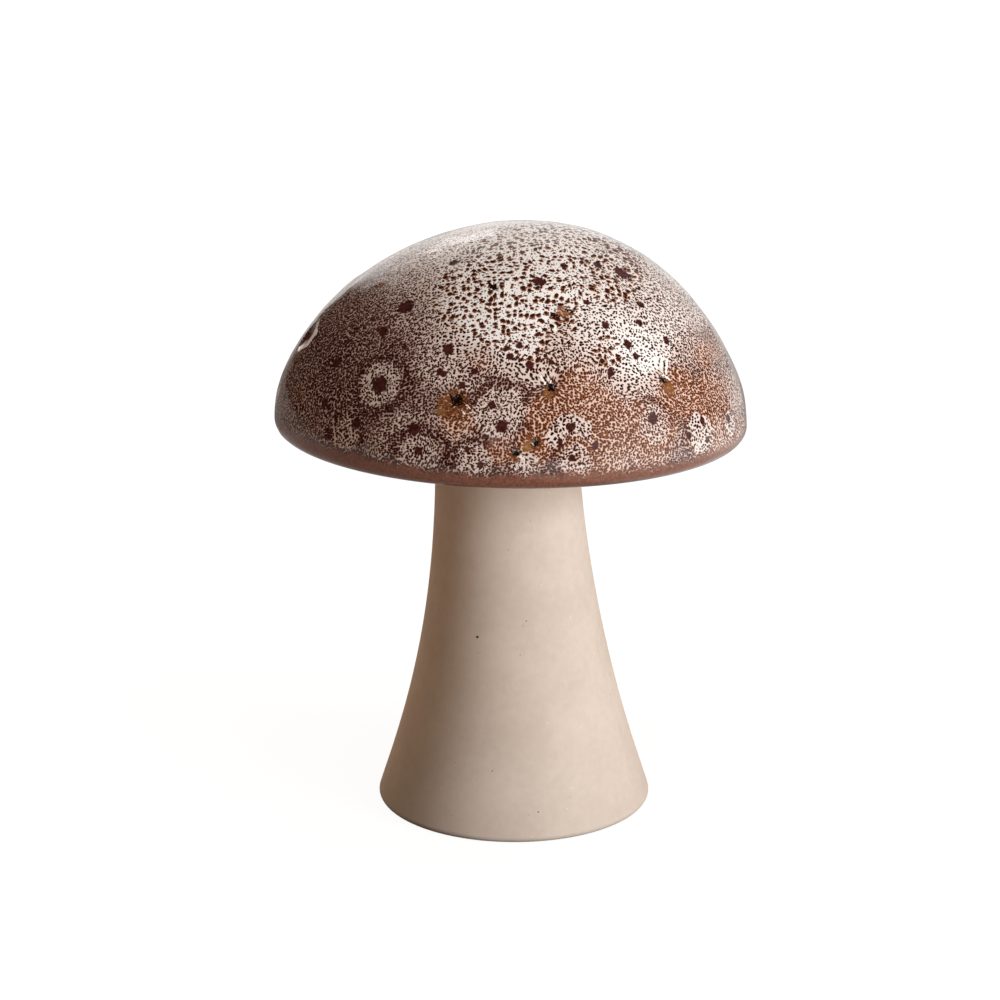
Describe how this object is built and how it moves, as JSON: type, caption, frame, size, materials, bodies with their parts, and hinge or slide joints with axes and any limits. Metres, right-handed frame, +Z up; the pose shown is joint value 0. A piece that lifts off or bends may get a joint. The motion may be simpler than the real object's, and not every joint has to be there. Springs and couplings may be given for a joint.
{
  "type": "mushroom ornament",
  "caption": "Free-standing mushroom-shaped table ornament: a glossy speckled glazed dome cap on a matt, unglazed ceramic stem that flares to its foot.",
  "frame": {"origin": "on the resting plane, under the middle of the cap's rim; the foot's centre lies 0.95 mm towards +X", "axes": "+Z up, from the foot to the crown; the picture looks along +Y, with +X to its right"},
  "size_m": [0.1196, 0.1196, 0.151],
  "materials": {
    "bare_clay": "matt unglazed stoneware, beige",
    "cap_clay": "matt unglazed stoneware, beige",
    "reactive_glaze": "glossy reactive glaze, brown with a fine cream network",
    "fired_slip": "matt fired joining slip"
  },
  "bodies": {
    "root": {"stem": "bare_clay", "cap_body": "cap_clay", "cap_glaze": "reactive_glaze", "joining_slip": "fired_slip"}
  },
  "joints": []
}
